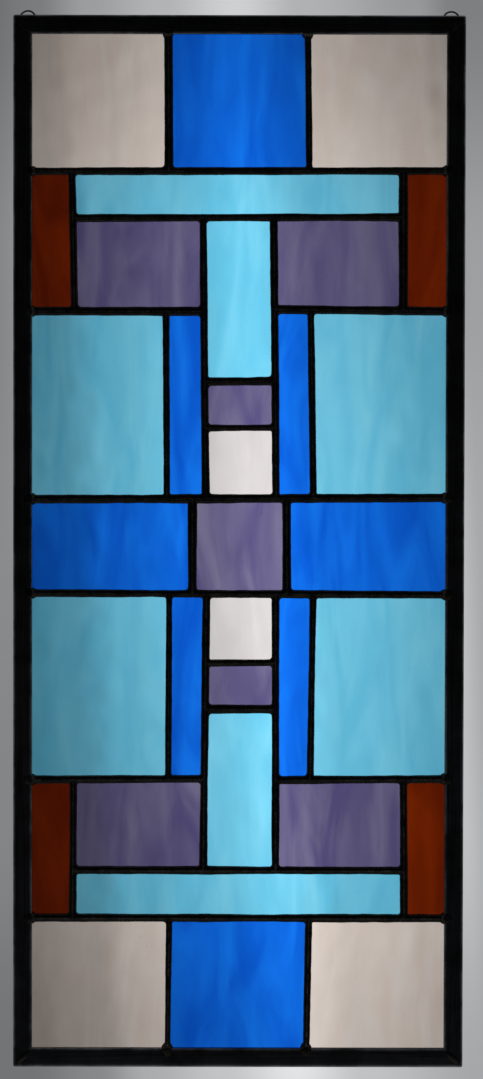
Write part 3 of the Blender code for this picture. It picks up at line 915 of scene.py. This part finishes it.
# %% [markdown]
# ## Black patina
# Solder, wire and zinc were all brushed with patina, an acid that turns their skin dark and leaves the
# metal's soft shine. It reads black against the light, but it isn't even: browner where it took thinly,
# greyer where crowns and edges are rubbed, duller where flux was left. Clouds give the tone, and a fine
# grain the gloss. On zinc the grain is drawn out along the strip. Real grain is far finer than a
# millimetre, and it is drawn coarser here so that it shows.

# %% Patina on solder and on zinc
GRAIN, GRAIN_RELIEF = 0.8 * MM, 0.03 * MM
DRAWN_GRAIN, LINE_LENGTH, LINE_WIDTH = 0.7 * MM, 40 * MM, 0.5 * MM
SOFT = "SMOOTHSTEP"


def drawn_grain(material):
    """Noise on the strip's own coordinates, drawn out into lines, LINE_LENGTH long and LINE_WIDTH wide."""
    strip = add(material, "Attribute", attribute_name="strip").outputs["Vector"]
    stretch = {"Scale": (DRAWN_GRAIN / LINE_LENGTH, DRAWN_GRAIN / LINE_WIDTH, 1.0)}
    lines = add(material, "Mapping", stretch, {"Vector": strip})
    return add(material, "TexNoise", {"Scale": 1 / DRAWN_GRAIN, "Detail": 4.0}, {"Vector": lines})


def black_patina(name, mottle, tones, gloss, rubbed_from, drawn=False):
    """Blackened metal: dark and softly shining, with cloudy tones, fine grain, and crowns rubbed greyer."""
    material = blank(bpy.data.materials.new(name))
    place = add(material, "TexCoord").outputs["Object"]
    lumps = {"Scale": 1 / mottle, "Detail": 5.0, "Roughness": 0.6, "Distortion": 0.4}
    clouds = add(material, "TexNoise", lumps, {"Vector": place})
    fine = {"Scale": 1 / GRAIN, "Detail": 3.0}
    grain = drawn_grain(material) if drawn else add(material, "TexNoise", fine, {"Vector": place})
    crown = add(material, "Attribute", attribute_name="crown").outputs["Fac"]
    rubbed = add(material, "MapRange", {"From Min": rubbed_from}, {"Value": crown}, interpolation_type=SOFT)
    span = {"From Min": 0.35, "From Max": 0.65, "To Min": 0.25}
    worn = add(material, "MapRange", span, {"Value": clouds}, interpolation_type=SOFT)
    patchy = add(material, "Math", links={0: rubbed, 1: worn}, operation="MULTIPLY")
    dark = add(material, "ValToRGB", links={"Fac": clouds}, stops=zip((0.32, 0.68), tones))
    tone = add(material, "MixRGB", {"Color2": linear(tones[2])}, {"Fac": patchy, "Color1": dark})
    span = {"From Min": 0.3, "From Max": 0.7, "To Min": gloss[0], "To Max": gloss[1]}
    shine = add(material, "MapRange", span, {"Value": grain}, interpolation_type=SOFT)
    bump = add(material, "Bump", {"Strength": 0.25, "Distance": GRAIN_RELIEF}, {"Height": grain})
    shade(material, {"Metallic": 1.0}, {"Base Color": tone, "Roughness": shine, "Normal": bump})
    return material


# %% [markdown]
# Each metal took the patina in its own way: the seams are brown-black and a little rubbed, the drops
# darker, and the zinc bluer, duller and worn grey along its edges.

# %% Three patinas, put on
# The size of the clouds, the dark, the pale and the rubbed tone, the gloss's span, and where rubbing starts
PATINAS = {
    "solder": (7 * MM, ("#151516", "#22211F", "#53514E"), (0.20, 0.34), 0.6),
    "solder_drops": (5 * MM, ("#121213", "#1C1B1A", "#302E2B"), (0.22, 0.36), 0.5),
    "zinc": (14 * MM, ("#1B1C1E", "#2A2B2E", "#6A6C70"), (0.24, 0.40), 0.2),
}
BLACKENED = {"solder": [solder], "solder_drops": [tack_piece, mitre_piece, *loop_pieces], "zinc": came_pieces}
for metal, values in PATINAS.items():
    patina = black_patina(f"black_patina_on_{metal}", *values, drawn=metal == "zinc")
    for piece in BLACKENED[metal]:
        piece.data.materials.append(patina)
print("metal finishes:", ", ".join(PATINAS))

# %% [markdown]
# ## The floor
# A pale floor lies well below, wide enough for every view and out of the camera's sight.

# %% A pale floor
FLOOR_DROP = 1.25
FLOOR_REACH = 4.0
FLOOR_SIDES = 96
panel_centre = (measured_box[0] + measured_box[1]) / 2
turns = np.linspace(0, 2 * np.pi, FLOOR_SIDES, endpoint=False)
level = np.full(FLOOR_SIDES, panel_centre.z - FLOOR_DROP)
disc = np.column_stack([FLOOR_REACH * np.cos(turns), FLOOR_REACH * np.sin(turns), level])
floor_mesh = bpy.data.meshes.new("floor")
floor_mesh.from_pydata(disc.tolist(), [], [list(range(FLOOR_SIDES))])
floor = bpy.data.objects.new("floor", floor_mesh)
bpy.context.scene.collection.objects.link(floor)
floor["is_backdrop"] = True
plaster = blank(bpy.data.materials.new("pale_floor"))
shade(plaster, {"Base Color": linear("#E6E5E2"), "Roughness": 0.8})
floor_mesh.materials.append(plaster)
print("the floor lies", FLOOR_DROP, "m below the panel's middle")

# %% [markdown]
# ## The camera
# The photograph is taken almost straight on, from a little above the panel's middle, and a hair off level.
# The lens follows from the height that the picture covers at the panel.

# %% The photograph's view
PHOTO_WIDE, PHOTO_HIGH = 483, 1079
PHOTO_SCALE = 0.5065 * MM
AIM_RIGHT, AIM_UP = 1.4 * MM, 1.9 * MM
DISTANCE = 2.4
ABOVE, LEFT, ROLL = math.radians(2.1), math.radians(-0.2), math.radians(0.11)

frame_x, frame_z = (outer_low + outer_high) / 2
aim = Vector((frame_x + AIM_RIGHT, MIDDLE_Y - CAME_HALF, frame_z + AIM_UP))
away = Vector((math.sin(LEFT) * math.cos(ABOVE), -math.cos(LEFT) * math.cos(ABOVE), math.sin(ABOVE)))
camera_data = bpy.data.cameras.new("camera")
camera_data.sensor_width = 36.0
camera_data.lens = camera_data.sensor_width * DISTANCE / (PHOTO_HIGH * PHOTO_SCALE)
camera = bpy.data.objects.new("camera", camera_data)
turn = (-away).to_track_quat("-Z", "Y").to_matrix().to_4x4() @ Matrix.Rotation(ROLL, 4, "Z")
camera.matrix_world = Matrix.Translation(aim + away * DISTANCE) @ turn
bpy.context.scene.collection.objects.link(camera)
bpy.context.scene.camera = camera
print("lens", round(camera_data.lens, 1), "mm at", DISTANCE, "m")

# %% [markdown]
# ## The light
# Stained glass shows its colours only against light, so the light here is the world itself, pale all round.
# Behind the panel, as the camera sees it, it is a tall soft strip, brightest a little right of the middle
# and dimmer to the left, above and below. It could be a glowing plane, but that would stand in the way from
# behind. Two colour ramps hold the strip's levels instead, one across and one up, and are multiplied.

# %% A tall soft strip of light
OPEN_LIGHT, STRIP_LIGHT = 0.62, 1.18
STRIP_LEAN = 0.06
STRIP_STARTS, STRIP_FULL = 0.95, 0.991
HALF_WIDE, HALF_HIGH = (size / 2 * PHOTO_SCALE / DISTANCE for size in (PHOTO_WIDE, PHOTO_HIGH))
ACROSS_LEVELS = [(0.0, 0.22), (0.14, 0.32), (0.25, 0.54), (0.40, 0.72)]
ACROSS_LEVELS += [(0.55, 1.0), (0.69, 0.70), (0.92, 0.50), (1.0, 0.34)]
UP_LEVELS = [(0.0, 0.66), (0.25, 0.92), (0.5, 1.0), (0.75, 0.88), (1.0, 0.54)]
world = blank(bpy.data.worlds.new("studio"))
bpy.context.scene.world = world


def levels_along(way, middle, half, levels):
    """A brightness for ways from middle - half to middle + half, eased between (place, level) stops."""
    span = {"From Min": middle - half, "From Max": middle + half}
    place = add(world, "MapRange", span, {"Value": way})
    band = add(world, "ValToRGB", links={"Fac": place}, stops=levels)
    band.color_ramp.interpolation = "EASE"
    return band


way = add(world, "TexCoord").outputs["Generated"]
x, y, z = add(world, "SeparateXYZ", links={"Vector": way}).outputs
leaning = add(world, "Math", {1: STRIP_LEAN}, {0: z, 2: x}, operation="MULTIPLY_ADD")
across = levels_along(leaning, -away.x - STRIP_LEAN * away.z, HALF_WIDE, ACROSS_LEVELS)
up = levels_along(z, -away.z, HALF_HIGH, UP_LEVELS)
both = add(world, "Math", links={0: across, 1: up}, operation="MULTIPLY")
strip = add(world, "Math", {1: STRIP_LIGHT}, {0: both}, operation="MULTIPLY")
span = {"From Min": STRIP_STARTS, "From Max": STRIP_FULL, "To Min": OPEN_LIGHT}
open_light = add(world, "MapRange", span, {"Value": y, "To Max": strip}, interpolation_type=SOFT)
print("the strip covers", [round(math.degrees(2 * half), 1) for half in (HALF_WIDE, HALF_HIGH)], "degrees")

# %% [markdown]
# Black card round a lens keeps a studio's own shine out of glass and polished metal. The same is done here
# for shiny reflections alone: they find the world dim in front of the panel and behind it. A ray that is
# both a reflection and glossy is such a one: light that comes through the glass, or off the floor, isn't.

# %% Black card for the reflections
CARD_STARTS, CARD_FULL = 0.45, 0.85
BESIDE_CARD, ON_CARD = 0.8, 0.03
straight = add(world, "Math", links={0: y}, operation="ABSOLUTE")
span = {"From Min": CARD_STARTS, "From Max": CARD_FULL, "To Min": BESIDE_CARD, "To Max": ON_CARD}
card = add(world, "MapRange", span, {"Value": straight}, interpolation_type=SOFT)
ray = add(world, "LightPath").outputs
kinds = {0: ray["Is Reflection Ray"], 1: ray["Is Glossy Ray"]}
shiny = add(world, "Math", links=kinds, operation="MULTIPLY")
seen = add(world, "MapRange", {"To Min": 1.0}, {"Value": shiny, "To Max": card})
strength = add(world, "Math", links={0: open_light, 1: seen}, operation="MULTIPLY")
light = add(world, "Background", {"Color": linear("#FBFDFF")}, {"Strength": strength})
add(world, "OutputWorld", links={"Surface": light})
print("reflections straight in front and behind find", ON_CARD, "of the light")

# %% [markdown]
# One soft lamp hangs above and behind, where daylight falls from, and gives the floor a lighter middle and
# the tops of the bars a faint edge. The plain view transform keeps the glass as bright as its tones say.

# %% A soft lamp above
key = bpy.data.lights.new("soft_lamp", "AREA")
key.shape = "DISK"
key.size = 1.4
key.energy = 14.0
lamp = bpy.data.objects.new("soft_lamp", key)
lamp.location = panel_centre + Vector((-1.1, 0.9, 1.7))
lamp.rotation_euler = (panel_centre - lamp.location).to_track_quat("-Z", "Y").to_euler()
bpy.context.scene.collection.objects.link(lamp)
bpy.context.scene.view_settings.view_transform = "Standard"
print("a lamp of", key.energy, "W hangs above, behind the panel")

# %% [markdown]
# ## Check the size
# The dressed pieces are meant to stay inside the measured model. How far they reach past its box on each side
# is printed.

# %% Print how far the pieces reach past the box, and finish
bpy.context.view_layer.update()
dressed_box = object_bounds()
past = [measured_box[0] - dressed_box[0], dressed_box[1] - measured_box[1]]
print("past the measured box by", [[round(v / MM, 3) for v in side] for side in past], "mm")
